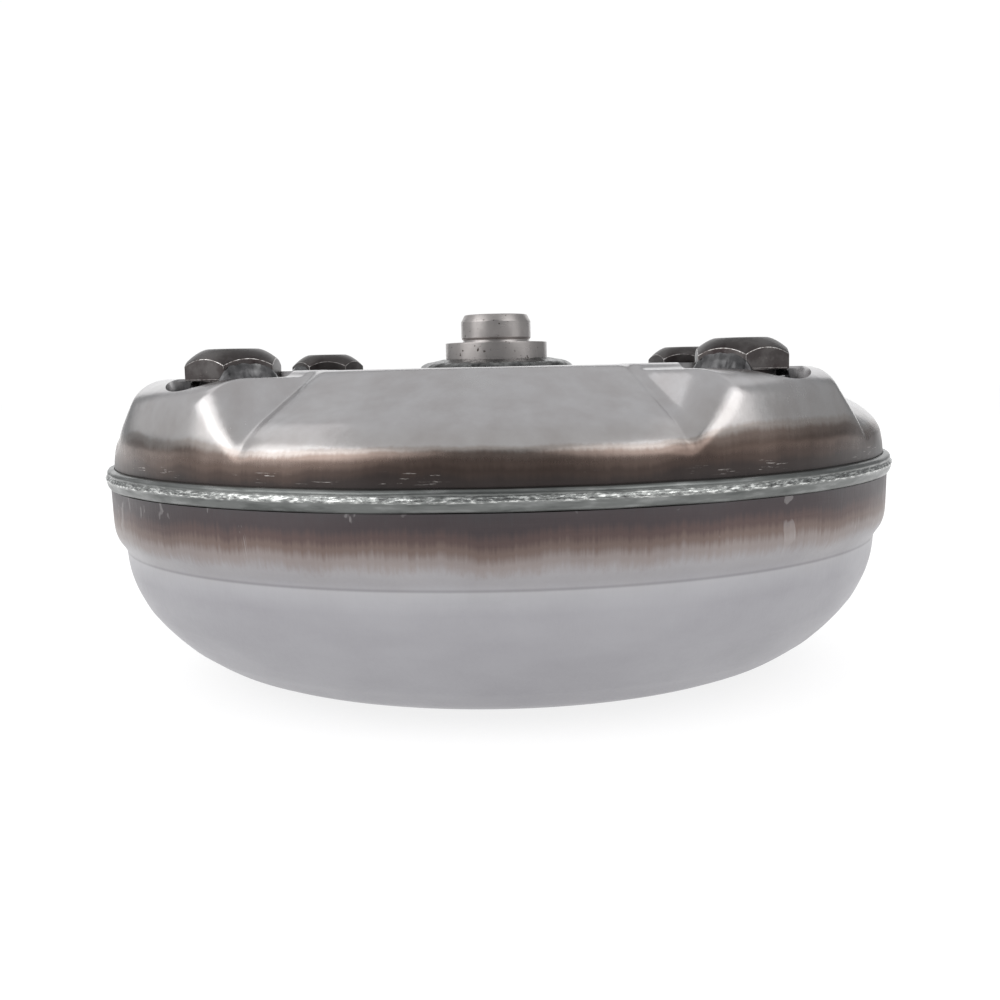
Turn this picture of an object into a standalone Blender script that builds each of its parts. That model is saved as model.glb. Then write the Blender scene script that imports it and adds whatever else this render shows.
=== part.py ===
"""Lock-up torque converter of an automatic transmission, standing on its impeller shell.

The rotation axis is +Z with the crank pilot up, and the lowest ring of the impeller shell is at
z = 0. Sizes are in millimetres, times MM.
"""

import math

import bmesh
import bpy
from mathutils import Matrix, Vector

MM = 0.001
GAP = 0.3  # between pieces that touch
BLADE_ROOM = 1.4  # from the blades' outer edges to the facets of their shell

# Driving dimensions, radii and heights above the resting plane.
SEGMENTS = 72  # facets of the cover and the impeller shell
INNER_SEGMENTS = 24  # facets of the pieces inside
SPOT_SEGMENTS = 20
NUT_SEGMENTS = 12
PIN_SEGMENTS = 8  # facets of rivets and rollers
SHEET = 3.0  # pressed steel of the cover and the impeller shell
BEAD_RADIUS = 131.0
BEAD_HEIGHT = 65.8
SKIRT_RADIUS = 128.1
SKIRT_BOTTOM = 65.6
COVER_TOP = 97.9
LOBE_TOP = 96.3
LOBE_ANGLE = 40.1  # middle of the first of the four lobes
LOBES = 4
NUT_ANGLE = 42.4  # the nuts stand a little past the middles of their lobes
NUT_CIRCLE = 102.9
NUT_FLATS = 25.0
NUT_BASE = 93.8
NUT_TOP = 104.6
NUT_CROWN = 7.6  # radius of the flat crown above the chamfer
NUT_BORE = 4.6
NUT_SHOULDER = 12.5  # where the shallow top of the chamfer meets its steep edge
NUT_SHOULDER_TOP = 101.7
NUT_EDGE_SLOPE = 1.14
NUT_FOOT_RADIUS = 9.8
NUT_FOOT_TOP = 95.6
SPOT_RADIUS = 18.5
PRESSURE_RADIUS = 85.0  # the piston's lining seats on the cover's flat inside this
NUT_TURNS = (47.5, 7.5, 31.0, 24.0)  # how far each nut was turned when it was welded
PILOT_TOP = 115.9
PILOT_RADIUS = 12.0
PILOT_BASE_RADIUS = 17.5
PILOT_BASE_TOP = 106.4
PILOT_WELD_RADIUS = 26.5
PILOT_WELD_TOP = 100.5
HUB_BORE = 19.0
HUB_RADIUS = 25.0
HUB_BOTTOM = 2.0
HUB_FLANGE_RADIUS = 40.4
HUB_FLANGE_BOTTOM = 18.6
HUB_FLANGE_TOP = 25.4
SHAFT_BORE = 13.0  # inside the turbine hub's splines
SLEEVE_RADIUS = 19.0
RIVETS = 6
RIVET_CIRCLE = 41.0
RIVET_HEAD = 3.6
BLADES_IMPELLER = 17
BLADES_TURBINE = 19
BLADES_STATOR = 11
BLADE_SWEEP = 0.25  # radians round the axis over the first 80 mm outward
BLADE_SWEEP_LENGTH = 80.0
CORE_RADIUS = 81.0
CORE_WIDTH = 19.0
CORE_DEPTH = 15.5
MIDDLE = 43.2  # the plane between the impeller and the turbine
SPRINGS = 6
SPRING_CIRCLE = 47.0
SPRING_HEIGHT = 81.0
SPRING_COIL = 5.3
SPRING_WIRE = 1.15
SPRING_LENGTH = 26.0
ROLLERS = 6
ROLLER_RADIUS = 3.6
ROLLER_CIRCLE = 28.0
DRIVE_LUGS = 8


def clear_scene():
    for item in list(bpy.data.objects):
        bpy.data.objects.remove(item, do_unlink=True)


def material(name, color, metallic, roughness):
    made = bpy.data.materials.new(name)
    made.use_nodes = True
    shader = made.node_tree.nodes["Principled BSDF"]
    shader.inputs["Base Color"].default_value = (*color, 1.0)
    shader.inputs["Metallic"].default_value = metallic
    shader.inputs["Roughness"].default_value = roughness
    return made


def finish(name, bm, look, smooth=True):
    """The bmesh, in millimetres, as a named object in metres."""
    bmesh.ops.remove_doubles(bm, verts=bm.verts, dist=1e-4)
    bmesh.ops.dissolve_degenerate(bm, edges=bm.edges, dist=1e-5)
    bmesh.ops.triangulate(bm, faces=[face for face in bm.faces if len(face.verts) > 4])
    bmesh.ops.recalc_face_normals(bm, faces=bm.faces)
    if bm.calc_volume(signed=True) < 0:
        bmesh.ops.reverse_faces(bm, faces=bm.faces)
    bmesh.ops.scale(bm, vec=(MM, MM, MM), verts=bm.verts)
    mesh = bpy.data.meshes.new(name)
    bm.to_mesh(mesh)
    bm.free()
    if smooth:
        mesh.shade_smooth()
        mesh.set_sharp_from_angle(angle=math.radians(30))
    made = bpy.data.objects.new(name, mesh)
    bpy.context.collection.objects.link(made)
    mesh.materials.append(material(name, *look))
    return made


def turned_bmesh(outline, segments):
    """A closed outline of (radius, height) points, turned about Z."""
    bm = bmesh.new()
    points = [bm.verts.new((radius, 0.0, height)) for radius, height in outline]
    edges = [bm.edges.new((a, b)) for a, b in zip(points, points[1:] + points[:1])]
    bmesh.ops.spin(
        bm, geom=points + edges, axis=(0, 0, 1), cent=(0, 0, 0),
        steps=segments, angle=math.tau, use_merge=True,
    )
    bmesh.ops.remove_doubles(bm, verts=bm.verts, dist=1e-3)
    return bm


def turned(name, outline, look, segments=INNER_SEGMENTS):
    return finish(name, turned_bmesh(outline, segments), look)


def ring(inner, outer, bottom, top):
    return [(inner, bottom), (outer, bottom), (outer, top), (inner, top)]


def solid(radius, bottom, top):
    return ring(0.0, radius, bottom, top)


def offset_line(points, distance):
    """The open line moved sideways, to the left of its direction, by the distance."""
    moved = []
    for index, point in enumerate(points):
        before = points[max(index - 1, 0)]
        after = points[min(index + 1, len(points) - 1)]
        along = Vector((after[0] - before[0], after[1] - before[1])).normalized()
        moved.append((point[0] - along.y * distance, point[1] + along.x * distance))
    return moved


def prism_bmesh(outline, bottom, top):
    """A flat outline of (x, y) points raised from bottom to top."""
    bm = bmesh.new()
    face = bm.faces.new([bm.verts.new((x, y, bottom)) for x, y in outline])
    raised = bmesh.ops.extrude_face_region(bm, geom=[face])
    top_verts = [item for item in raised["geom"] if isinstance(item, bmesh.types.BMVert)]
    bmesh.ops.translate(bm, vec=(0, 0, top - bottom), verts=top_verts)
    bmesh.ops.recalc_face_normals(bm, faces=bm.faces)
    return bm


def box_bmesh(size, place, turn=0.0):
    """A block of (radial, sideways, height) size at (radius, sideways, height), turned about Z."""
    bm = bmesh.new()
    bmesh.ops.create_cube(bm, size=1.0)
    bmesh.ops.scale(bm, vec=size, verts=bm.verts)
    bmesh.ops.translate(bm, vec=place, verts=bm.verts)
    bmesh.ops.rotate(bm, cent=(0, 0, 0), matrix=Matrix.Rotation(turn, 3, "Z"), verts=bm.verts)
    return bm


def merged(parts):
    """Several bmeshes as one, still separate bodies."""
    whole = bmesh.new()
    for part in parts:
        mesh = bpy.data.meshes.new("part")
        part.to_mesh(mesh)
        part.free()
        whole.from_mesh(mesh)
        bpy.data.meshes.remove(mesh)
    return whole


def helper(name, bm):
    """A cutter or an added shape, which isn't a piece of its own."""
    made = finish(name, bm, ((0.5, 0.5, 0.5), 0.0, 0.5), smooth=False)
    made.hide_render = True
    made.display_type = "WIRE"
    return made


def boolean(target, other, operation):
    modifier = target.modifiers.new(operation.lower(), "BOOLEAN")
    modifier.object = other
    modifier.operation = operation
    modifier.solver = "EXACT"


def around(count, first=0.0):
    return [math.radians(first) + math.tau * index / count for index in range(count)]


# Looks: colour, metallic value and roughness of each kind of surface.
PRESSED_STEEL = ((0.42, 0.39, 0.38), 1.0, 0.32)
BOWL_STEEL = ((0.38, 0.38, 0.41), 1.0, 0.42)
WELD_STEEL = ((0.30, 0.30, 0.30), 1.0, 0.45)
NUT_STEEL = ((0.09, 0.07, 0.065), 1.0, 0.35)
MACHINED_STEEL = ((0.60, 0.58, 0.56), 1.0, 0.22)
SHEET_STEEL = ((0.45, 0.45, 0.46), 1.0, 0.35)
SPRING_STEEL = ((0.22, 0.23, 0.26), 1.0, 0.3)
HARD_STEEL = ((0.55, 0.55, 0.57), 1.0, 0.18)
ALUMINIUM = ((0.78, 0.78, 0.79), 1.0, 0.4)
FRICTION_PAPER = ((0.17, 0.12, 0.08), 0.0, 0.9)
SEAL_RESIN = ((0.05, 0.045, 0.04), 0.0, 0.55)
PHENOLIC = ((0.22, 0.12, 0.06), 0.0, 0.6)


def interpolate(table, at):
    """A smooth height between the (radius, height) stations of a table."""
    if at <= table[0][0]:
        return table[0][1]
    for (r0, z0), (r1, z1) in zip(table, table[1:]):
        if at <= r1:
            return z0 + (z1 - z0) * (at - r0) / (r1 - r0)
    return table[-1][1]


# Between the lobes the cover drops in a cone to a low shoulder.
SCOOP = (
    (93.0, COVER_TOP), (97.0, 96.4), (119.5, 84.0), (123.5, 81.7), (125.8, 79.5), (127.3, 76.8),
    (SKIRT_RADIUS, 73.0),
)
# On the lobes it stays high and turns down in one wide round.
LOBE = (
    (93.0, COVER_TOP), (97.0, LOBE_TOP), (113.5, LOBE_TOP), (117.5, 95.2), (121.0, 92.7),
    (124.0, 89.0), (126.3, 84.8), (127.6, 81.0), (SKIRT_RADIUS, 78.0),
)
# Each lobe's side is a slanting flat: its height at a place along and beside the lobe.
SIDE_HEIGHT = 90.3
SIDE_ALONG = 119.4
SIDE_BESIDE = 29.5
SIDE_FALL_ALONG = 0.15
SIDE_FALL_BESIDE = 1.236
COVER_RADII = (84.0, 88.5, 93.0, 98.0, 104.0, 111.0, 116.5, 120.5, 124.0, 126.8, SKIRT_RADIUS)


def cover_height(radius, angle):
    """Height of the cover's outer surface."""
    step = math.tau / LOBES
    turn = (angle - math.radians(LOBE_ANGLE) + step / 2) % step - step / 2
    along = radius * math.cos(turn)
    beside = abs(radius * math.sin(turn))
    side = SIDE_HEIGHT - SIDE_FALL_BESIDE * (beside - SIDE_BESIDE)
    side -= SIDE_FALL_ALONG * (along - SIDE_ALONG)
    return max(interpolate(SCOOP, radius), min(interpolate(LOBE, radius), side))


def on_circle(radius, angle, height):
    return (radius * math.cos(angle), radius * math.sin(angle), height)


def build_cover():
    """A pressed skin: rings of its outer surface and, a sheet's thickness within, of its inner one."""
    bm = bmesh.new()
    angles = around(SEGMENTS)
    outer = bm.verts.new((0, 0, COVER_TOP))
    inner = bm.verts.new((0, 0, COVER_TOP - SHEET))
    outer_rings = []
    inner_rings = []
    flat = COVER_RADII[1]
    for radius in COVER_RADII:
        lean = math.sin(max(0.0, (radius - flat) / (SKIRT_RADIUS - flat)) * math.pi / 2)
        drop = math.sqrt(1.0 - lean * lean)
        outer_ring = []
        inner_ring = []
        for angle in angles:
            height = cover_height(radius, angle)
            backed = min(height, NUT_BASE) if radius > PRESSURE_RADIUS else height
            outer_ring.append(bm.verts.new(on_circle(radius, angle, height)))
            inner_ring.append(
                bm.verts.new(on_circle(radius - SHEET * lean, angle, backed - SHEET * drop))
            )
        outer_rings.append(outer_ring)
        inner_rings.append(inner_ring)
    for rings, radius in ((outer_rings, SKIRT_RADIUS), (inner_rings, SKIRT_RADIUS - SHEET)):
        rings.append([bm.verts.new(on_circle(radius, angle, SKIRT_BOTTOM)) for angle in angles])
    for middle, rings in ((outer, outer_rings), (inner, inner_rings)):
        for index in range(SEGMENTS):
            after = (index + 1) % SEGMENTS
            bm.faces.new((middle, rings[0][index], rings[0][after]))
            for low, high in zip(rings, rings[1:]):
                bm.faces.new((low[index], high[index], high[after], low[after]))
    rim = outer_rings[-1]
    rim_within = inner_rings[-1]
    for index in range(SEGMENTS):
        after = (index + 1) % SEGMENTS
        bm.faces.new((rim[index], rim_within[index], rim_within[after], rim[after]))
    cover = finish("front_cover", bm, PRESSED_STEEL)
    spots = []
    for angle in around(LOBES, NUT_ANGLE):
        spot = turned_bmesh(solid(SPOT_RADIUS, NUT_BASE, COVER_TOP + 5.0), SPOT_SEGMENTS)
        bmesh.ops.translate(spot, vec=on_circle(NUT_CIRCLE, angle, 0.0), verts=spot.verts)
        spots.append(spot)
    boolean(cover, helper("spot_faces", merged(spots)), "DIFFERENCE")


def build_pilot():
    turned(
        "crank_pilot",
        [
            (0, COVER_TOP + GAP), (PILOT_BASE_RADIUS, COVER_TOP + GAP),
            (PILOT_BASE_RADIUS, PILOT_BASE_TOP - 0.6), (PILOT_BASE_RADIUS - 0.6, PILOT_BASE_TOP),
            (PILOT_RADIUS - 0.6, PILOT_BASE_TOP),
            (PILOT_RADIUS - 0.6, PILOT_BASE_TOP + 1.0), (PILOT_RADIUS, PILOT_BASE_TOP + 1.6),
            (PILOT_RADIUS, PILOT_TOP - 2.4), (PILOT_RADIUS - 1.3, PILOT_TOP), (0, PILOT_TOP),
        ],
        MACHINED_STEEL,
    )
    inner = PILOT_BASE_RADIUS + GAP
    turned(
        "pilot_weld",
        [
            (inner, COVER_TOP + GAP), (PILOT_WELD_RADIUS, COVER_TOP + GAP),
            (PILOT_WELD_RADIUS - 0.8, PILOT_WELD_TOP - 0.6), (PILOT_WELD_RADIUS - 2.5, PILOT_WELD_TOP),
            (inner, PILOT_WELD_TOP + 0.4),
        ],
        WELD_STEEL,
    )


def build_nuts():
    """Hexagon weld nuts: a deep conical chamfer on top and a narrower round foot in the spot face."""
    corner = NUT_FLATS / math.sqrt(3)
    reach = corner + 2.0
    edge_top = NUT_SHOULDER_TOP - NUT_EDGE_SLOPE * (reach - NUT_SHOULDER)
    body = [
        (NUT_BORE, NUT_BASE - 1.0), (NUT_FOOT_RADIUS, NUT_BASE - 1.0), (NUT_FOOT_RADIUS, NUT_FOOT_TOP),
        (reach, NUT_FOOT_TOP), (reach, edge_top), (NUT_SHOULDER, NUT_SHOULDER_TOP),
        (NUT_CROWN, NUT_TOP), (NUT_CROWN, NUT_TOP + 1.0), (NUT_BORE, NUT_TOP + 1.0),
    ]
    for index, angle in enumerate(around(LOBES, NUT_ANGLE)):
        hexagon = [
            (corner * math.cos(a), corner * math.sin(a)) for a in around(6, NUT_TURNS[index])
        ]
        bar = prism_bmesh(hexagon, NUT_BASE + GAP, NUT_TOP)
        nut = finish(f"drive_nut_{index + 1}", bar, NUT_STEEL, smooth=False)
        envelope = helper(f"nut_envelope_{index + 1}", turned_bmesh(body, NUT_SEGMENTS))
        nut.location = Vector(on_circle(NUT_CIRCLE, angle, 0.0)) * MM
        envelope.location = nut.location
        boolean(nut, envelope, "INTERSECT")


def build_seam_weld():
    base = SKIRT_RADIUS + GAP
    outline = [
        (base, BEAD_HEIGHT - 3.0), (129.8, BEAD_HEIGHT - 3.0), (BEAD_RADIUS, BEAD_HEIGHT - 0.8),
        (BEAD_RADIUS, BEAD_HEIGHT + 0.8), (129.3, BEAD_HEIGHT + 2.8), (base, BEAD_HEIGHT + 2.8),
    ]
    turned("seam_weld", outline, WELD_STEEL, SEGMENTS)


# The impeller shell's outer surface, from the hub down, round the bowl and up to the cover.
SHELL = (
    (41.0, 19.0), (46.0, 10.9), (56.0, 3.6), (69.0, 0.0), (80.0, 0.0), (94.0, 3.2), (106.0, 9.6),
    (116.2, 19.5), (122.4, 29.6), (125.4, 40.0), (125.4, 42.4), (128.9, 49.0), (129.4, 62.2),
)
BOWL_POINTS = 10  # stations of SHELL that belong to the bowl
LAP_RADIUS = SKIRT_RADIUS - SHEET - GAP  # the shell's upper wall laps inside the cover's skirt
LAP_TOP = 72.0


def build_impeller_shell():
    inner = offset_line(SHELL[:BOWL_POINTS], SHEET)
    outline = list(SHELL) + [(LAP_RADIUS, 62.2), (LAP_RADIUS, LAP_TOP), (LAP_RADIUS - SHEET, LAP_TOP)]
    outline += [(LAP_RADIUS - SHEET, 46.0)] + inner[::-1]
    turned("impeller_shell", outline, BOWL_STEEL, SEGMENTS)
    turned(
        "impeller_hub",
        [
            (HUB_BORE, HUB_BOTTOM), (HUB_RADIUS - 1.0, HUB_BOTTOM), (HUB_RADIUS, HUB_BOTTOM + 1.5),
            (HUB_RADIUS, HUB_FLANGE_BOTTOM), (HUB_FLANGE_RADIUS, HUB_FLANGE_BOTTOM),
            (HUB_FLANGE_RADIUS, HUB_FLANGE_TOP), (HUB_BORE, HUB_FLANGE_TOP),
        ],
        MACHINED_STEEL,
    )


def core_point(angle, swell=0.0):
    """A point of the core ring's section, at an angle about its middle."""
    return (
        CORE_RADIUS + (CORE_WIDTH + swell) * math.cos(angle),
        MIDDLE + (CORE_DEPTH + swell) * math.sin(angle),
    )


def resample(line, count):
    """Points at even distances along an open line."""
    lengths = [0.0]
    for a, b in zip(line, line[1:]):
        lengths.append(lengths[-1] + math.dist(a, b))
    points = []
    for index in range(count):
        at = lengths[-1] * index / (count - 1)
        start = max(i for i, length in enumerate(lengths[:-1]) if length <= at + 1e-9)
        part = (at - lengths[start]) / (lengths[start + 1] - lengths[start])
        a, b = line[start], line[start + 1]
        points.append((a[0] + (b[0] - a[0]) * part, a[1] + (b[1] - a[1]) * part))
    return points


def blade_bmesh(far_line, near_line, turn, sweep, thickness=1.2):
    """A curved blade between two lines of (radius, height) points, swept about Z as it goes out."""
    bm = bmesh.new()
    start = far_line[0][0]
    rows = []
    for side in (-0.5, 0.5):
        for line in (far_line, near_line):
            row = []
            for radius, height in line:
                swept = sweep * ((radius - start) / BLADE_SWEEP_LENGTH) ** 2
                angle = turn + swept + side * thickness / radius
                row.append(bm.verts.new((radius * math.cos(angle), radius * math.sin(angle), height)))
            rows.append(row)
    for a, b in ((0, 1), (2, 3), (0, 2), (1, 3)):
        for index in range(len(far_line) - 1):
            bm.faces.new((rows[a][index], rows[a][index + 1], rows[b][index + 1], rows[b][index]))
    for end in (0, -1):
        bm.faces.new((rows[0][end], rows[1][end], rows[3][end], rows[2][end]))
    bmesh.ops.recalc_face_normals(bm, faces=bm.faces)
    return bm


def build_bladed_ring(name, far_line, count, first, last, sweep, look):
    """A half core ring and its blades, which end just short of the shell that they are brazed to."""
    stations = 4
    angles = [math.radians(first + (last - first) * i / (stations - 1)) for i in range(stations)]
    section = [core_point(a, 0.6) for a in angles] + [core_point(a, -0.6) for a in angles[::-1]]
    core = turned(name, section, look)
    far = resample(far_line, stations)
    near = [core_point(a, 0.2) for a in angles]
    blades = merged([blade_bmesh(far, near, turn, sweep) for turn in around(count, 3.0)])
    boolean(core, helper(f"{name}_blades", blades), "UNION")


TURBINE_SHEET = 1.8
TURBINE_FLAT = 36.0
TURBINE_FLAT_TOP = 62.8
TURBINE = (
    (46.6, TURBINE_FLAT_TOP), (53.0, 72.4), (64.0, 78.6), (78.0, 81.0), (93.0, 79.4), (106.0, 73.6),
    (115.6, 63.0), (120.0, 46.6),
)


def build_pump_and_turbine():
    pump_line = offset_line(SHELL[:BOWL_POINTS], SHEET + BLADE_ROOM)
    build_bladed_ring(
        "impeller_blades", pump_line[2:], BLADES_IMPELLER, 218.0, 352.0, BLADE_SWEEP, SHEET_STEEL,
    )
    under = TURBINE_FLAT_TOP - TURBINE_SHEET
    inner = offset_line(TURBINE, -TURBINE_SHEET)
    inner[0] = (TURBINE[0][0], under)
    outline = [(TURBINE_FLAT, TURBINE_FLAT_TOP)] + list(TURBINE) + inner[::-1] + [(TURBINE_FLAT, under)]
    turned("turbine_shell", outline, SHEET_STEEL)
    turbine_line = offset_line(TURBINE, -TURBINE_SHEET - BLADE_ROOM)
    build_bladed_ring(
        "turbine_blades", turbine_line[1:], BLADES_TURBINE, 142.0, 8.0, -BLADE_SWEEP, SHEET_STEEL,
    )


def toothed(inner, outer, teeth, first=0.0):
    """A round outline of radius outer with square notches down to inner: a spline or a lugged rim."""
    points = []
    for turn in around(teeth, first):
        pitch = math.tau / teeth
        for share, radius in ((-0.25, inner), (-0.22, outer), (0.22, outer), (0.25, inner)):
            angle = turn + share * pitch
            points.append((radius * math.cos(angle), radius * math.sin(angle)))
    return points


def build_turbine_hub():
    """The sleeve carries the piston, the lower flange the turbine, and the splines take the input shaft."""
    sleeve_bottom = 57.6
    sleeve_top = 91.8
    groove = SLEEVE_RADIUS - 1.4
    hub = turned(
        "turbine_hub",
        [
            (SHAFT_BORE - 1.0, sleeve_bottom), (SLEEVE_RADIUS, sleeve_bottom), (SLEEVE_RADIUS, 59.4),
            (33.5, 59.4), (33.5, 63.1), (45.0, 63.1), (45.0, 66.1), (SLEEVE_RADIUS, 66.1),
            (SLEEVE_RADIUS, 88.8), (groove, 88.8), (groove, 90.6), (SLEEVE_RADIUS, 90.6),
            (SLEEVE_RADIUS, sleeve_top), (SHAFT_BORE - 1.0, sleeve_top),
        ],
        MACHINED_STEEL,
    )
    splines = helper("turbine_splines", prism_bmesh(toothed(SHAFT_BORE, 14.4, 12), 50.0, 100.0))
    boolean(hub, splines, "DIFFERENCE")
    shank = RIVET_HEAD - 1.4
    holes = []
    for index, angle in enumerate(around(RIVETS, 30.0)):
        rivet = turned(
            f"turbine_rivet_{index + 1}",
            [
                (0, 58.9), (RIVET_HEAD, 58.9), (RIVET_HEAD, 60.7), (shank, 60.7), (shank, 66.4),
                (RIVET_HEAD, 66.4), (RIVET_HEAD - 0.4, 68.4), (0, 68.4),
            ],
            HARD_STEEL,
            PIN_SEGMENTS,
        )
        rivet.location = Vector(on_circle(RIVET_CIRCLE, angle, 0.0)) * MM
        hole = turned_bmesh(solid(shank + 0.4, 50.0, 70.0), PIN_SEGMENTS)
        bmesh.ops.translate(hole, vec=on_circle(RIVET_CIRCLE, angle, 0.0), verts=hole.verts)
        holes.append(hole)
    drill = helper("rivet_drill", merged(holes))
    boolean(hub, drill, "DIFFERENCE")
    boolean(bpy.data.objects["turbine_shell"], drill, "DIFFERENCE")
    turned("piston_seal_ring", ring(groove + GAP, SLEEVE_RADIUS + GAP, 89.1, 90.3), SEAL_RESIN)
    washer = ring(12.5, 18.6, sleeve_top + GAP, COVER_TOP - SHEET - GAP)
    turned("cover_thrust_washer", washer, PHENOLIC)


WINDOW_START = SPRING_LENGTH / 2 + GAP
TWIST_ROOM = 6.8  # how far a spring end can be pushed round its circle


def window_cutter(name, before, after, bottom, top, width):
    """Six straight windows, each from `before` to `after` along the spring's line."""
    cuts = []
    for angle in around(SPRINGS):
        size = (width, after - before, top - bottom)
        cuts.append(box_bmesh(size, (SPRING_CIRCLE, (after + before) / 2, (bottom + top) / 2), angle))
    return helper(name, merged(cuts))


def build_damper():
    """The driven plate is staked to the hub; the drive plate turns against it through the springs."""
    driven = turned("damper_driven_plate", ring(SLEEVE_RADIUS + GAP, 57.0, 79.6, 82.4), SHEET_STEEL)
    end = WINDOW_START + TWIST_ROOM
    windows = window_cutter("driven_windows", -WINDOW_START, end, 78.0, 84.0, 15.0)
    boolean(driven, windows, "DIFFERENCE")
    lugged = prism_bmesh(toothed(75.6, 80.0, DRIVE_LUGS), 85.0, 87.0)
    drive = finish("damper_drive_plate", lugged, SHEET_STEEL)
    centre = helper("drive_centre", turned_bmesh(solid(36.0, 80.0, 90.0), INNER_SEGMENTS))
    boolean(drive, centre, "DIFFERENCE")
    windows = window_cutter("drive_windows", -WINDOW_START, WINDOW_START, 80.0, 90.0, 14.0)
    boolean(drive, windows, "DIFFERENCE")
    for index, angle in enumerate(around(SPRINGS)):
        build_damper_spring(index + 1, angle)


def build_damper_spring(number, angle):
    turns = 4.5
    steps = 5
    count = int(turns * steps)
    curve = bpy.data.curves.new(f"damper_spring_{number}", "CURVE")
    curve.dimensions = "3D"
    curve.bevel_depth = SPRING_WIRE * MM
    curve.bevel_resolution = 0
    curve.use_fill_caps = True
    spline = curve.splines.new("POLY")
    spline.points.add(count)
    length = SPRING_LENGTH - 2 * SPRING_WIRE
    for index in range(count + 1):
        phase = math.tau * index / steps
        along = length * (index / count - 0.5)
        spline.points[index].co = (
            MM * SPRING_COIL * math.cos(phase), MM * along, MM * SPRING_COIL * math.sin(phase), 1.0,
        )
    curve.materials.append(material(curve.name, *SPRING_STEEL))
    spring = bpy.data.objects.new(curve.name, curve)
    bpy.context.collection.objects.link(spring)
    spring.location = Vector(on_circle(SPRING_CIRCLE, angle, SPRING_HEIGHT)) * MM
    spring.rotation_euler.z = angle


def build_piston():
    """A disc that slides on the turbine hub. Its rim teeth take the drive plate's lugs."""
    bore = SLEEVE_RADIUS + 0.7
    rim_within = 82.0
    rim = 84.2
    rim_bottom = 83.4
    underside = 88.6
    rim_top = 91.2
    piston = turned(
        "lockup_piston",
        [
            (bore, underside), (rim_within, underside), (rim_within, rim_bottom), (rim, rim_bottom),
            (rim, rim_top), (bore, rim_top),
        ],
        SHEET_STEEL,
    )
    keys = []
    for angle in around(DRIVE_LUGS, 180.0 / DRIVE_LUGS):
        keys.append(box_bmesh((5.0, 28.0, 5.4), (79.9, 0.0, 86.2), angle))
    boolean(piston, helper("piston_keys", merged(keys)), "UNION")
    turned("friction_lining", ring(66.0, 83.6, rim_top + GAP, 93.2), FRICTION_PAPER)


# The stator and its one-way clutch.
STATOR_BOTTOM = 33.6
STATOR_TOP = 52.4


def build_stator():
    wheel = turned("stator_wheel", ring(38.3, 42.0, STATOR_BOTTOM, STATOR_TOP), ALUMINIUM)
    blades = []
    shroud = turned_bmesh(ring(57.6, 60.2, STATOR_BOTTOM + 1, STATOR_TOP - 1), INNER_SEGMENTS)
    for angle in around(BLADES_STATOR):
        root = [(41.0, 35.0), (41.0, 43.0), (41.0, 51.0)]
        tip = [(58.4, height) for _, height in root]
        blades.append(stator_blade(root, tip, angle))
    boolean(wheel, helper("stator_vanes", merged(blades)), "UNION")
    boolean(wheel, helper("stator_shroud", shroud), "UNION")
    barrel = prism_bmesh(circle(38.0, INNER_SEGMENTS), 34.0, 52.0)
    race = finish("clutch_outer_race", barrel, HARD_STEEL)
    boolean(race, helper("race_cams", prism_bmesh(cam_outline(), 30.0, 56.0)), "DIFFERENCE")
    for index, angle in enumerate(around(ROLLERS)):
        roller = turned(
            f"clutch_roller_{index + 1}",
            solid(ROLLER_RADIUS, 36.2, 49.8),
            HARD_STEEL,
            PIN_SEGMENTS,
        )
        roller.location = Vector(on_circle(ROLLER_CIRCLE, angle, 0.0)) * MM
        build_roller_spring(index + 1, angle)
    for name, bottom, top in (("stator_rear_cap", 28.9, 33.3), ("stator_front_cap", 52.7, 55.4)):
        turned(name, ring(24.6, 41.0, bottom, top), PHENOLIC)
    barrel = prism_bmesh(circle(24.0, INNER_SEGMENTS), 31.0, 55.0)
    inner = finish("clutch_inner_race", barrel, HARD_STEEL)
    splines = helper("reaction_splines", prism_bmesh(toothed(17.0, 18.6, 14), 20.0, 60.0))
    boolean(inner, splines, "DIFFERENCE")


def circle(radius, count):
    return [(radius * math.cos(a), radius * math.sin(a)) for a in around(count)]


def polar(radius, turn, degrees):
    angle = turn + math.radians(degrees)
    return (radius * math.cos(angle), radius * math.sin(angle))


def cam_outline():
    """The outer race's bore: six pockets, each with a ramp that a roller wedges into."""
    points = []
    pocket = ROLLER_CIRCLE + ROLLER_RADIUS + 0.35
    for turn in around(ROLLERS):
        points.append(polar(25.2, turn, -26.0))
        points.append(polar(25.2, turn, -15.0))
        for degrees in (-14.0, -7.0, 0.0, 8.0, 16.0, 24.0):
            points.append(polar(pocket + 0.012 * degrees, turn, degrees))
    return points


def build_roller_spring(number, turn):
    """A folded strip that pushes its roller up the ramp."""
    middle = 43.0
    half_width = 5.0
    sides = []
    for side in (-0.6, 0.6):
        row = []
        for degrees, radius in ((11.0, 25.8), (14.0, 30.6), (17.0, 25.8), (20.5, 30.6)):
            angle = turn + math.radians(degrees)
            row.append(((radius + side) * math.cos(angle), (radius + side) * math.sin(angle)))
        sides.append(row)
    outline = sides[0] + sides[1][::-1]
    strip = prism_bmesh(outline, middle - half_width, middle + half_width)
    finish(f"roller_spring_{number}", strip, SPRING_STEEL, smooth=False)


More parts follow.
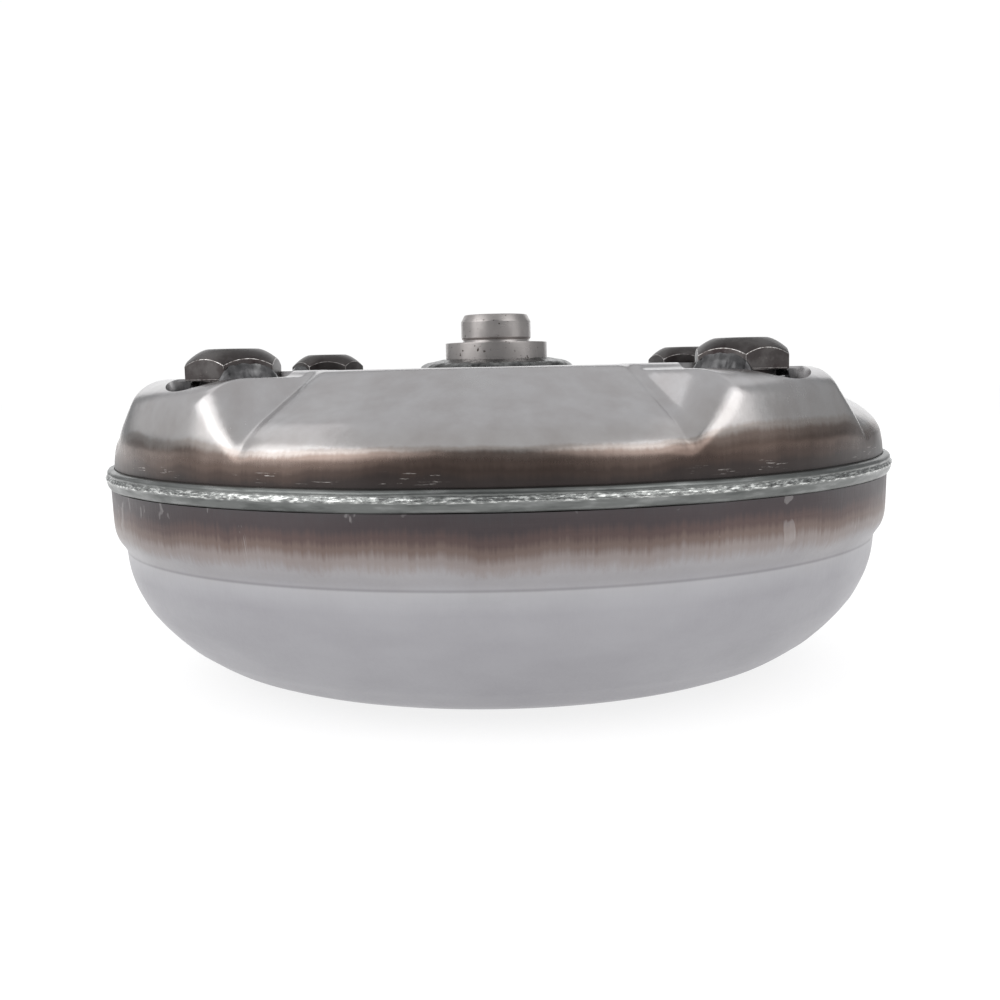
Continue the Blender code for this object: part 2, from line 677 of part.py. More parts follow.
def stator_blade(far, near, turn):
    """A vane from hub to shroud, cambered along the axis."""
    bm = bmesh.new()
    rows = []
    for side in (-1.0, 1.0):
        for line in (far, near):
            row = []
            for index, (radius, height) in enumerate(line):
                share = index / (len(line) - 1)
                camber = 9.0 * share * share
                half = side * (0.35 + 1.3 * math.sin(math.pi * min(share * 0.8 + 0.12, 1.0)))
                angle = turn + (camber + half) / 50.0
                row.append(bm.verts.new((radius * math.cos(angle), radius * math.sin(angle), height)))
            rows.append(row)
    for a, b in ((0, 1), (2, 3), (0, 2), (1, 3)):
        for index in range(len(far) - 1):
            bm.faces.new((rows[a][index], rows[a][index + 1], rows[b][index + 1], rows[b][index]))
    for end in (0, -1):
        bm.faces.new((rows[0][end], rows[1][end], rows[3][end], rows[2][end]))
    bmesh.ops.recalc_face_normals(bm, faces=bm.faces)
    return bm


def build_thrust_bearing(name, bottom, inner, outer, needles, look=HARD_STEEL):
    """A cage plate with needles through it, one body, between two plain races."""
    cage = turned(f"{name}_needles", ring(inner, outer, bottom + 1.2, bottom + 2.0), look, 20)
    rows = []
    length = outer - inner - 3.0
    for angle in around(needles):
        needle = bmesh.new()
        bmesh.ops.create_cone(
            needle, cap_ends=True, segments=5, radius1=0.8, radius2=0.8, depth=length,
            matrix=Matrix.Rotation(math.pi / 2, 4, "Y"),
        )
        bmesh.ops.translate(needle, vec=((inner + outer) / 2, 0, bottom + 1.6), verts=needle.verts)
        bmesh.ops.rotate(needle, cent=(0, 0, 0), matrix=Matrix.Rotation(angle, 3, "Z"), verts=needle.verts)
        rows.append(needle)
    boolean(cage, helper(f"{name}_rollers", merged(rows)), "UNION")
    turned(f"{name}_race", ring(inner, outer, bottom - 0.5, bottom + 0.5), look, 20)


def main():
    clear_scene()
    build_cover()
    build_pilot()
    build_nuts()
    build_seam_weld()
    build_impeller_shell()
    build_pump_and_turbine()
    build_turbine_hub()
    build_damper()
    build_piston()
    build_stator()
    build_thrust_bearing("rear_bearing", 26.2, 27.0, 38.0, 10)
    build_thrust_bearing("front_bearing", 56.4, 22.0, 33.0, 10)


main()
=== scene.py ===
"""Looks of a welded lock-up torque converter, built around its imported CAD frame.

The frame is in metres with +Z on the rotation axis. Sizes here are in millimetres, times MM.
"""

import math

import bmesh
import bpy
import numpy as np
from mathutils import Matrix, Vector, noise


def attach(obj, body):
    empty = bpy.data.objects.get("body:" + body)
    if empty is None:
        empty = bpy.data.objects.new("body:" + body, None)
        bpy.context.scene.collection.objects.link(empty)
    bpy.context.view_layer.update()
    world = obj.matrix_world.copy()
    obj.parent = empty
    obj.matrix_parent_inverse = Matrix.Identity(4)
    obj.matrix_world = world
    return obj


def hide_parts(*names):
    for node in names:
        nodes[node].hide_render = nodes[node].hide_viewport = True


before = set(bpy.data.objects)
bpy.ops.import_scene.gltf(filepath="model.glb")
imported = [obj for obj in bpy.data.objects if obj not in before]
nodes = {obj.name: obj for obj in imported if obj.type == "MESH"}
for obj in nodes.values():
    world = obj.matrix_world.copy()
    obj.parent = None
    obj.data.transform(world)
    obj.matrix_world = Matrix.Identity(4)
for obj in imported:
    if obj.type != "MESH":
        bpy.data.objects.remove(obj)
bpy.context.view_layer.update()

MM = 0.001
LOBES = 4
LOBE_ANGLE = 40.1  # degrees from +X to the first lobe's middle
NUT_ANGLE = 42.4  # and to the first nut
NUT_TURNS = (47.5, 7.5, 31.0, 24.0)  # degrees that each nut is turned about its own axis
NUT_CIRCLE = 102.9
SKIRT_RADIUS = 128.1


# ---------------------------------------------------------------- mesh helpers


def around(count, first=0.0):
    """Evenly spaced angles in radians; the first one is given in degrees."""
    return [math.radians(first) + math.tau * index / count for index in range(count)]


def on_circle(radius, angle, height=0.0):
    return (radius * math.cos(angle), radius * math.sin(angle), height)


def ring_noise(scale, angle, third=0.0):
    """Smooth noise that closes on itself round the axis. A larger scale gives smaller lumps."""
    return noise.noise(Vector(on_circle(scale, angle, third)))


def ring_faces(rings, count, closed=True, left_out=()):
    """Four-sided faces between neighbouring rings of count points; closed joins the last to the first."""
    faces = []
    for ring in range(rings if closed else rings - 1):
        here = ring * count
        after = (ring + 1) % rings * count
        for index in range(count):
            follow = (index + 1) % count
            if index not in left_out:
                faces.append((here + index, after + index, after + follow, here + follow))
    return faces


def mesh_object(name, vertices, faces, sharp=35.0):
    """An object in metres from vertices in millimetres."""
    mesh = bpy.data.meshes.new(name)
    mesh.from_pydata([Vector(v) * MM for v in vertices], [], faces)
    mesh.validate()
    bm = bmesh.new()
    bm.from_mesh(mesh)
    bmesh.ops.remove_doubles(bm, verts=bm.verts, dist=1e-7)
    bmesh.ops.recalc_face_normals(bm, faces=bm.faces)
    if bm.calc_volume(signed=True) < 0:
        bmesh.ops.reverse_faces(bm, faces=bm.faces)
    bm.to_mesh(mesh)
    bm.free()
    mesh.shade_smooth()
    mesh.set_sharp_from_angle(angle=math.radians(sharp))
    made = bpy.data.objects.new(name, mesh)
    bpy.context.collection.objects.link(made)
    return made


def applied(piece, sharp=35.0):
    """The piece with its modifiers made permanent."""
    graph = bpy.context.evaluated_depsgraph_get()
    mesh = bpy.data.meshes.new_from_object(piece.evaluated_get(graph))
    piece.modifiers.clear()
    piece.data = mesh
    mesh.shade_smooth()
    mesh.set_sharp_from_angle(angle=math.radians(sharp))
    return piece


def smoothed(points, width, step=0.25):
    """The open line through the points, resampled evenly and with its corners eased over the width."""
    line = np.array(points, float)
    run = np.concatenate([[0.0], np.cumsum(np.hypot(*np.diff(line, axis=0).T))])
    count = int(run[-1] / step) + 1
    at = np.linspace(0.0, run[-1], count)
    dense = np.stack([np.interp(at, run, line[:, axis]) for axis in (0, 1)], 1)
    reach = int(3 * width / step)
    weight = np.exp(-0.5 * (np.arange(-reach, reach + 1) * step / width) ** 2)
    weight /= weight.sum()
    first, last = dense[0], dense[-1]
    before = first - (dense[1] - first) * np.arange(reach, 0, -1)[:, None]
    after = last + (last - dense[-2]) * np.arange(1, reach + 1)[:, None]
    padded = np.concatenate([before, dense, after])
    return np.stack([np.convolve(padded[:, axis], weight, "valid") for axis in (0, 1)], 1)


def thinned(line, tolerance=0.01, longest=4.0):
    """Fewer points of a dense line, keeping its shape (Douglas-Peucker) and no stretch over the longest."""
    keep = {0, len(line) - 1}
    spans = [(0, len(line) - 1)]
    while spans:
        low, high = spans.pop()
        if high - low < 2:
            continue
        chord = line[high] - line[low]
        length = max(float(np.hypot(*chord)), 1e-9)
        apart = line[low + 1:high] - line[low]
        off = np.abs(apart[:, 0] * chord[1] - apart[:, 1] * chord[0]) / length
        worst = int(np.argmax(off))
        if off[worst] > tolerance or length > longest:
            middle = low + 1 + (worst if off[worst] > tolerance else (high - low - 1) // 2)
            keep.add(middle)
            spans += [(low, middle), (middle, high)]
    return line[sorted(keep)]


def turned(name, outline, segments=192, sharp=35.0, shift=None):
    """A closed outline of (radius, height) points, turned about Z.

    shift(radius, height, angle) may move a point to another (radius, height).
    """
    vertices = []
    count = len(outline)
    for angle in around(segments):
        for radius, height in outline:
            if shift and radius > 0:
                radius, height = shift(radius, height, angle)
            vertices.append(on_circle(radius, angle, height))
    on_axis = [
        index for index in range(count)
        if outline[index][0] == 0 and outline[(index + 1) % count][0] == 0
    ]
    return mesh_object(name, vertices, ring_faces(segments, count, left_out=on_axis), sharp)


def eased(corners, size=0.5, steps=4):
    """A closed outline with each corner rounded. A corner may give its own size as a third number."""
    outline = []
    count = len(corners)
    for index in range(count):
        here = np.array(corners[index][:2], float)
        before = np.array(corners[index - 1][:2], float)
        after = np.array(corners[(index + 1) % count][:2], float)
        reach = corners[index][2] if len(corners[index]) > 2 else size
        if here[0] == 0 or reach == 0:
            outline.append(tuple(here))
            continue
        to_before = before - here
        to_after = after - here
        room = 0.45 * min(np.hypot(*to_before), np.hypot(*to_after))
        reach = min(reach, room)
        start = here + to_before / np.hypot(*to_before) * reach
        end = here + to_after / np.hypot(*to_after) * reach
        for step in range(steps + 1):
            t = step / steps
            outline.append(tuple(start * (1 - t) ** 2 + here * 2 * t * (1 - t) + end * t * t))
    return outline


# ---------------------------------------------------------------- node helpers


def shader_node(tree, kind, inputs=None, **settings):
    """A node whose inputs are numbers, colours or other nodes' outputs."""
    node = tree.nodes.new("ShaderNode" + kind)
    for key, value in settings.items():
        setattr(node, key, value)
    for key, value in (inputs or {}).items():
        if isinstance(value, bpy.types.NodeSocket):
            tree.links.new(value, node.inputs[key])
        else:
            node.inputs[key].default_value = value
    return node


def place_mm(tree):
    """The point's place in the frame, in millimetres."""
    where = shader_node(tree, "TexCoord").outputs["Object"]
    return shader_node(tree, "VectorMath", {0: where, "Scale": 1 / MM}, operation="SCALE").outputs[0]


def stretched(tree, place, x, y, z):
    return shader_node(tree, "VectorMath", {0: place, 1: (x, y, z)}, operation="MULTIPLY").outputs[0]


def noise_at(tree, vector, scale=1.0, detail=3.0, roughness=0.55, distortion=0.0):
    settings = {"Scale": scale, "Detail": detail, "Roughness": roughness, "Distortion": distortion}
    return shader_node(tree, "TexNoise", {"Vector": vector, **settings}).outputs["Fac"]


def calc(tree, operation, a, b=0.0, c=0.0):
    return shader_node(tree, "Math", {0: a, 1: b, 2: c}, operation=operation).outputs[0]


def spread(tree, value, low, high, to_low=0.0, to_high=1.0):
    """The value taken from one range to another, and held inside it."""
    ends = {"From Min": low, "From Max": high, "To Min": to_low, "To Max": to_high}
    return shader_node(tree, "MapRange", {"Value": value, **ends}).outputs["Result"]


def ramp(tree, factor, stops):
    """A smooth colour ramp; each stop is a place from 0 to 1 and a linear colour."""
    made = shader_node(tree, "ValToRGB", {"Fac": factor})
    made.color_ramp.interpolation = "EASE"
    elements = made.color_ramp.elements
    while len(elements) > 1:
        elements.remove(elements[0])
    elements[0].position = stops[0][0]
    elements[0].color = (*stops[0][1], 1.0)
    for place, color in stops[1:]:
        elements.new(place).color = (*color, 1.0)
    return made.outputs["Color"]


def blended(tree, factor, a, b, mode="MIX"):
    """Two colours, or colour outputs, mixed by the factor."""
    made = shader_node(tree, "MixRGB", {"Fac": factor}, blend_type=mode)
    for key, value in (("Color1", a), ("Color2", b)):
        if isinstance(value, bpy.types.NodeSocket):
            tree.links.new(value, made.inputs[key])
        else:
            made.inputs[key].default_value = (*value, 1.0)
    return made.outputs["Color"]


def bump(tree, height, strength, distance, normal=None):
    """A bumped normal, on top of another one if given. The distance is in millimetres."""
    inputs = {"Height": height, "Strength": strength, "Distance": distance * MM}
    if normal is not None:
        inputs["Normal"] = normal
    return shader_node(tree, "Bump", inputs).outputs["Normal"]


def look(name, metallic=1.0):
    """An empty procedural material: its node tree, its shader and the place in millimetres."""
    material = bpy.data.materials.new(name)
    material.use_nodes = True
    tree = material.node_tree
    shader = tree.nodes["Principled BSDF"]
    shader.inputs["Metallic"].default_value = metallic
    return material, tree, shader, place_mm(tree)


def feed(tree, shader, color, roughness, normal):
    for key, value in (("Base Color", color), ("Roughness", roughness), ("Normal", normal)):
        tree.links.new(value, shader.inputs[key])


def grey(value):
    return (value, value, value)


def toned(tone, factor):
    return tuple(factor * part for part in tone)


def band(tree, height, rise, fall):
    """1 inside a band of heights and 0 outside it; rise and fall are the two places where it changes."""
    return calc(tree, "MULTIPLY", spread(tree, height, *rise), spread(tree, height, *fall))


# ---------------------------------------------------------------- materials

# Heights where a look changes. A band has the two places of its rise, then the two of its fall.
COVER_TINT = (66.0, 106.0)
COVER_DULL = (69.0, 77.0)
COVER_SCUFFS = ((69.3, 70.1), (73.0, 71.8))
SEAM_CREST = ((64.9, 65.5), (67.2, 66.3))
BOWL_TINT = (39.5, 66.0)
BOWL_DRIPS = (46.0, 52.0)
# The bowl's step: a slightly brighter band painted as a highlight, and a thin dark line in its corner
# painted as shade.
BOWL_STEP_HIGHLIGHT = ((36.0, 41.5), (42.4, 42.0))
BOWL_STEP_SHADE = ((42.0, 42.5), (43.2, 42.7))


def cover_look():
    """Smooth drawn steel, heat-tinted brown to black towards the weld, with scuffs just above it."""
    material, tree, shader, place = look("drawn_steel")
    split = shader_node(tree, "SeparateXYZ", {0: place})
    height = split.outputs["Z"]
    flat = shader_node(tree, "VectorMath", {0: stretched(tree, place, 1.0, 1.0, 0.0)}, operation="LENGTH")
    inward = calc(tree, "SUBTRACT", SKIRT_RADIUS, flat.outputs["Value"])
    cloud = noise_at(tree, stretched(tree, place, 0.045, 0.045, 0.03), detail=3.0)
    streak = noise_at(tree, stretched(tree, place, 0.9, 0.9, 0.035), detail=3.0)
    wobble = calc(tree, "MULTIPLY_ADD", cloud, 8.0, -4.0)
    wobble = calc(tree, "ADD", wobble, calc(tree, "MULTIPLY_ADD", streak, 2.0, -1.0))
    # The tint follows the way along the sheet from the weld, and reaches further on the +X side.
    wobble = calc(tree, "ADD", wobble, calc(tree, "MULTIPLY", split.outputs["X"], -0.014))
    along = calc(tree, "ADD", calc(tree, "MULTIPLY_ADD", inward, 2.0, height), wobble)
    tint = ramp(tree, spread(tree, along, *COVER_TINT), (
        (0.0, (0.030, 0.026, 0.026)), (0.10, (0.045, 0.036, 0.034)), (0.17, (0.075, 0.055, 0.048)),
        (0.24, (0.13, 0.096, 0.082)), (0.32, (0.21, 0.165, 0.145)), (0.39, (0.37, 0.335, 0.315)),
        (0.45, (0.47, 0.455, 0.45)), (1.0, (0.50, 0.49, 0.495)),
    ))
    mottle = noise_at(tree, stretched(tree, place, 0.12, 0.12, 0.10), detail=5.0)
    tint = blended(tree, spread(tree, mottle, 0.35, 0.75, 0.0, 0.35), tint, (0.62, 0.56, 0.53), "MULTIPLY")
    # Short bright scuffs run round the skirt just above the weld.
    scuff = noise_at(tree, stretched(tree, place, 0.16, 0.16, 3.2), detail=4.0, roughness=0.65)
    patch = noise_at(tree, stretched(tree, place, 0.05, 0.05, 0.2), detail=1.0)
    scuff = calc(tree, "MULTIPLY", spread(tree, scuff, 0.62, 0.68), band(tree, height, *COVER_SCUFFS))
    scuff = calc(tree, "MULTIPLY", scuff, spread(tree, patch, 0.50, 0.60))
    tint = blended(tree, calc(tree, "MULTIPLY", scuff, 0.8), tint, (0.80, 0.75, 0.72))
    grain = noise_at(tree, stretched(tree, place, 1.6, 1.6, 0.25), detail=4.0)
    smudge = noise_at(tree, stretched(tree, place, 0.03, 0.03, 0.05), detail=4.0)
    rough = spread(tree, smudge, 0.3, 0.7, 0.17, 0.24)
    rough = calc(tree, "ADD", rough, spread(tree, grain, 0.3, 0.7, 0.0, 0.05))
    rough = calc(tree, "ADD", rough, spread(tree, height, *COVER_DULL, 0.16, 0.0))
    tree.links.new(spread(tree, height, *COVER_DULL, 0.72, 1.0), shader.inputs["Metallic"])
    normal = bump(tree, grain, 0.06, 0.2)
    normal = bump(tree, noise_at(tree, place, 0.09, detail=2.0), 0.12, 1.0, normal)
    feed(tree, shader, tint, rough, normal)
    return material


def bowl_look():
    """Satin blue-grey drawn steel, with a dark and then a purple-brown band under the weld."""
    material, tree, shader, place = look("satin_bowl_steel")
    height = shader_node(tree, "SeparateXYZ", {0: place}).outputs["Z"]
    cloud = noise_at(tree, stretched(tree, place, 0.05, 0.05, 0.03), detail=2.0)
    streak = noise_at(tree, stretched(tree, place, 0.8, 0.8, 0.02), detail=3.0)
    wobble = calc(tree, "MULTIPLY_ADD", cloud, 6.0, -3.0)
    wobble = calc(tree, "ADD", wobble, calc(tree, "MULTIPLY_ADD", streak, 4.0, -2.0))
    tint = ramp(tree, spread(tree, calc(tree, "ADD", height, wobble), *BOWL_TINT), (
        (0.0, (0.37, 0.365, 0.385)), (0.24, (0.36, 0.35, 0.36)), (0.40, (0.29, 0.255, 0.245)),
        (0.52, (0.19, 0.145, 0.13)), (0.62, (0.125, 0.092, 0.088)), (0.74, (0.085, 0.072, 0.075)),
        (1.0, (0.085, 0.082, 0.086)),
    ))
    haze = noise_at(tree, stretched(tree, place, 0.03, 0.03, 0.06), detail=4.0)
    tint = blended(tree, spread(tree, haze, 0.35, 0.75, 0.0, 0.30), tint, (0.72, 0.70, 0.72), "MULTIPLY")
    drip = noise_at(tree, stretched(tree, place, 0.14, 0.14, 0.06), detail=3.0, distortion=1.0)
    drip = calc(tree, "MULTIPLY", spread(tree, drip, 0.66, 0.69), spread(tree, height, *BOWL_DRIPS))
    tint = blended(tree, calc(tree, "MULTIPLY", drip, 0.26), tint, (0.50, 0.48, 0.475))
    # Painted shade and highlight at the step: a thin dark line painted in its corner as shade, over a
    # slightly brighter band painted as a highlight.
    step_highlight = calc(tree, "MULTIPLY", band(tree, height, *BOWL_STEP_HIGHLIGHT), 0.22)
    tint = blended(tree, step_highlight, tint, (0.60, 0.60, 0.61))
    corner = calc(tree, "MULTIPLY", band(tree, height, *BOWL_STEP_SHADE), 0.30)
    tint = blended(tree, corner, tint, (0.14, 0.135, 0.14))
    grain = noise_at(tree, stretched(tree, place, 1.3, 1.3, 0.22), detail=4.0)
    lines = noise_at(tree, stretched(tree, place, 0.05, 0.05, 1.1), detail=3.0)
    rough = spread(tree, haze, 0.3, 0.7, 0.34, 0.42)
    rough = calc(tree, "ADD", spread(tree, grain, 0.3, 0.7, 0.0, 0.06), rough)
    normal = bump(tree, grain, 0.12, 0.3)
    normal = bump(tree, lines, 0.10, 0.4, normal)
    feed(tree, shader, tint, rough, normal)
    return material


def weld_look():
    """Weld metal: dark and light scale with ripples and bright flecks."""
    material, tree, shader, place = look("weld_bead")
    scale = noise_at(tree, place, 0.35, detail=6.0, roughness=0.65)
    color = ramp(tree, spread(tree, scale, 0.36, 0.66), (
        (0.0, grey(0.045)), (0.5, grey(0.10)), (1.0, (0.20, 0.202, 0.198)),
    ))
    spark = noise_at(tree, place, 0.9, detail=5.0, roughness=0.7)
    color = blended(tree, spread(tree, spark, 0.68, 0.73), color, (0.86, 0.87, 0.86))
    rough = spread(tree, scale, 0.3, 0.7, 0.36, 0.18)
    normal = bump(tree, noise_at(tree, place, 0.6, detail=4.0, roughness=0.5), 0.35, 0.35)
    feed(tree, shader, color, rough, normal)
    return material


def fillet_look():
    """The nuts' fillet welds: smooth dark metal that ran in lumps, with a few bright specks."""
    material, tree, shader, place = look("fillet_weld")
    scale = noise_at(tree, place, 0.20, detail=2.5)
    color = ramp(tree, spread(tree, scale, 0.34, 0.68), (
        (0.0, (0.065, 0.064, 0.066)), (0.55, (0.105, 0.104, 0.106)), (1.0, grey(0.16)),
    ))
    spark = noise_at(tree, place, 0.6, detail=3.0, roughness=0.6)
    color = blended(tree, spread(tree, spark, 0.72, 0.76), color, (0.80, 0.80, 0.79))
    normal = bump(tree, noise_at(tree, stretched(tree, place, 1.0, 1.0, 0.35), 0.26, detail=1.0), 0.30, 0.8)
    feed(tree, shader, color, spread(tree, scale, 0.3, 0.7, 0.26, 0.18), normal)
    return material


def seam_look():
    """The seam weld: smooth grey metal, with dark scale flecks along its crest and a painted highlight
    there: the crest painted lighter, with a rough line of bright flecks as painted glints.
    """
    material, tree, shader, place = look("seam_bead")
    height = shader_node(tree, "SeparateXYZ", {0: place}).outputs["Z"]
    crest = band(tree, height, *SEAM_CREST)
    soft = noise_at(tree, stretched(tree, place, 0.10, 0.10, 0.5), detail=3.0)
    color = ramp(tree, spread(tree, soft, 0.3, 0.7), (
        (0.0, (0.105, 0.110, 0.107)), (0.5, (0.150, 0.156, 0.152)), (1.0, (0.22, 0.226, 0.222)),
    ))
    scale = noise_at(tree, stretched(tree, place, 0.42, 0.42, 1.9), detail=4.0, roughness=0.62)
    # Painted highlight: the crest is painted lighter, and its bright flecks are painted glints where light
    # catches the ridge; the dark flecks are weld scale.
    dark = calc(tree, "MULTIPLY", spread(tree, scale, 0.46, 0.36), crest)
    bright = calc(tree, "MULTIPLY", spread(tree, scale, 0.52, 0.60), crest)
    color = blended(tree, calc(tree, "MULTIPLY", crest, 0.6), color, (0.34, 0.35, 0.34))
    color = blended(tree, dark, color, grey(0.10))
    color = blended(tree, bright, color, (0.74, 0.75, 0.73))
    rough = spread(tree, soft, 0.3, 0.7, 0.36, 0.27)
    rough = calc(tree, "SUBTRACT", rough, calc(tree, "MULTIPLY", crest, 0.05))
    relief = calc(tree, "MULTIPLY", scale, calc(tree, "MULTIPLY_ADD", crest, 0.95, 0.05))
    feed(tree, shader, color, rough, bump(tree, relief, 0.45, 0.35))
    return material


def nut_look():
    """Blackened steel under a brown oil film."""
    material, tree, shader, place = look("blackened_nut")
    film = noise_at(tree, place, 0.12, detail=4.0)
    color = ramp(tree, spread(tree, film, 0.32, 0.70), (
        (0.0, (0.036, 0.029, 0.029)), (0.5, (0.062, 0.055, 0.054)), (1.0, (0.105, 0.098, 0.096)),
    ))
    grain = noise_at(tree, place, 1.4, detail=5.0, roughness=0.65)
    color = blended(tree, spread(tree, grain, 0.62, 0.75, 0.0, 0.5), color, (0.26, 0.23, 0.22))
    rough = spread(tree, film, 0.3, 0.7, 0.30, 0.42)
    normal = bump(tree, grain, 0.25, 0.15)
    feed(tree, shader, color, rough, normal)
    return material


def edge_look():
    """Bare metal on worn edges."""
    material, tree, shader, place = look("worn_edge")
    worn = noise_at(tree, place, 0.7, detail=5.0, roughness=0.7)
    color = ramp(tree, spread(tree, worn, 0.38, 0.60), (
        (0.0, (0.10, 0.085, 0.080)), (0.55, (0.36, 0.34, 0.33)), (1.0, (0.62, 0.60, 0.59)),
    ))
    feed(tree, shader, color, spread(tree, worn, 0.3, 0.7, 0.38, 0.22), bump(tree, worn, 0.2, 0.1))
    return material


def machined_look(name, tone, rough, grain, pits):
    """Turned or ground steel: fine tool lines, and small dark pits where it has begun to rust."""
    material, tree, shader, place = look(name)
    lines = noise_at(tree, stretched(tree, place, *grain), detail=4.0, roughness=0.6)
    stain = noise_at(tree, place, 0.10, detail=4.0)
    color = blended(tree, spread(tree, stain, 0.35, 0.7, 0.0, 0.55), tone, toned(tone, 0.66))
    color = blended(tree, spread(tree, lines, 0.3, 0.7, 0.0, 0.25), color, (0.80, 0.79, 0.78), "MULTIPLY")
    if pits:
        spot = noise_at(tree, place, 0.75, detail=2.0)
        region = noise_at(tree, place, 0.09, detail=1.0)
        pit = calc(tree, "MULTIPLY", spread(tree, spot, 0.655, 0.69), spread(tree, region, 0.47, 0.56))
        color = blended(tree, pit, color, (0.035, 0.025, 0.020))
    dull = spread(tree, stain, 0.3, 0.7, rough, rough + 0.08)
    dull = calc(tree, "ADD", spread(tree, lines, 0.3, 0.7, 0.0, 0.08), dull)
    feed(tree, shader, color, dull, bump(tree, lines, 0.16, 0.12))
    return material


def plain_metal(name, tone, rough, grain=0.6):
    """Sheet, spring or cast metal with a fine grain and faint oil stains."""
    material, tree, shader, place = look(name)
    fine = noise_at(tree, place, grain, detail=4.0, roughness=0.6)
    stain = noise_at(tree, place, 0.05, detail=4.0)
    color = blended(tree, spread(tree, stain, 0.35, 0.7, 0.0, 0.3), tone, toned(tone, 0.55))
    color = blended(tree, spread(tree, fine, 0.35, 0.7, 0.0, 0.3), color, toned(tone, 1.25))
    dull = spread(tree, fine, 0.3, 0.7, rough, rough + 0.10)
    feed(tree, shader, color, dull, bump(tree, fine, 0.2, 0.15))
    return material


def pressed_paper_look(name, tone, rough, fibre=1.2):
    """Friction paper, resin or phenolic: fibres and flecks in a dull body."""
    material, tree, shader, place = look(name, metallic=0.0)
    fibres = noise_at(tree, stretched(tree, place, fibre, fibre, fibre * 0.3), detail=5.0, roughness=0.7)
    patch = noise_at(tree, place, 0.08, detail=3.0)
    color = blended(tree, spread(tree, fibres, 0.35, 0.7), toned(tone, 0.6), tone)
    color = blended(tree, spread(tree, patch, 0.35, 0.7, 0.0, 0.35), color, toned(tone, 1.35))
    dull = spread(tree, fibres, 0.3, 0.7, rough, rough + 0.12)
    feed(tree, shader, color, dull, bump(tree, fibres, 0.3, 0.12))
    return material


cover_steel = cover_look()
bowl_steel = bowl_look()
weld_metal = weld_look()
fillet_metal = fillet_look()
seam_metal = seam_look()
nut_steel = nut_look()
bare_edge = edge_look()
turned_steel = machined_look("turned_steel", (0.42, 0.395, 0.385), 0.24, (0.02, 0.02, 3.0), True)
ground_steel = machined_look("ground_steel", (0.56, 0.56, 0.575), 0.16, grey(0.6), False)
sheet_steel = plain_metal("sheet_steel", (0.44, 0.44, 0.45), 0.30)
spring_steel = plain_metal("blue_spring_steel", (0.16, 0.17, 0.20), 0.26)
cast_aluminium = plain_metal("cast_aluminium", (0.74, 0.745, 0.75), 0.38, grain=0.35)
friction_paper = pressed_paper_look("friction_paper", (0.16, 0.11, 0.07), 0.82)
seal_resin = pressed_paper_look("seal_resin", (0.05, 0.045, 0.04), 0.45, fibre=0.5)
phenolic = pressed_paper_look("phenolic", (0.22, 0.12, 0.06), 0.5)


# ---------------------------------------------------------------- pieces


def dress(piece, material, body, slot, *replaced):
    """The piece's look, the body it moves with and the CAD nodes it stands for."""
    if not piece.data.materials:
        piece.data.materials.append(material)
    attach(piece, body)
    if replaced:
        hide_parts(*replaced)
    return piece


SKIRT_BOTTOM = 65.6
COVER_TOP = 97.9
COVER_THICK = 3.0
COVER_WAVE = 0.10  # how far the pressed sheet strays in and out
COVER_RINGS = (82.0, 60.0, 40.0, 20.0)
COVER_INSIDE_RADIUS = 84.9
SPOT_RADIUS = 18.5
SPOT_PAD_RADIUS = 11.2  # the pad that a nut stands on, inside the deep ring round it
NUT_BASE = 93.8
SPOT_FLOOR = 91.4
SPOT_SHIFT = 1.2  # the deep ring round a nut stands a little outward
SIDE_FALL_BESIDE = 1.236  # each lobe's side is a slanting flat
SIDE_FALL_ALONG = 0.15
SIDE_LEVEL = 144.67
SIDE_EASE = 1.5
CREASE_EASE = 0.8
CREASE_DEPTH = 0.28  # a shallow ditch on the cone side of each crease
CREASE_PLACE = 1.5
CREASE_WIDTH = 1.3
WALL_SCOOP_EASE = 6.0
WALL_LOBE_EASE = 14.0
WALL_TURN = (8.0, 22.0)  # degrees from a lobe's middle, where its wall starts and ends its change
COVER_HEART = (90.0, 66.0)  # rays from here, radius and height, reach the whole outer curve
CONE_LINE = ((80.0, 97.9), (94.0, 97.9), (97.0, 96.4), (119.5, 84.0), (160.0, 61.7))
SHELF_LINE = ((80.0, 97.9), (93.5, 97.9), (96.5, 96.3), (230.0, 96.3))
SCOOP_WALL = (
    (128.1, 60.0), (128.1, 68.6), (127.9, 71.8), (127.3, 75.3), (126.5, 78.6), (125.6, 82.0),
    (110.0, 125.0),
)
LOBE_WALL = (
    (128.1, 60.0), (128.1, 77.0), (127.6, 81.0), (126.6, 84.8), (125.3, 89.2), (124.0, 93.5), (122.8, 98.0),
    (115.0, 125.0),
)


def ray_lengths(line, angles):
    """How far a ray from the cover's heart goes, at each angle above the horizontal, to reach the line."""
    out = line - np.array(COVER_HEART)
    turn = np.arctan2(out[:, 1], out[:, 0])
    order = np.argsort(turn)
    return np.interp(angles, turn[order], np.hypot(*out.T)[order])


def soft_least(a, b, width):
    """The lesser of the two, with the change from one to the other eased over the width."""
    over = np.maximum(width - np.abs(a - b), 0.0)
    return np.minimum(a, b) - over * over / (4 * width)


def soft_most(a, b, width):
    return -soft_least(-a, -b, width)


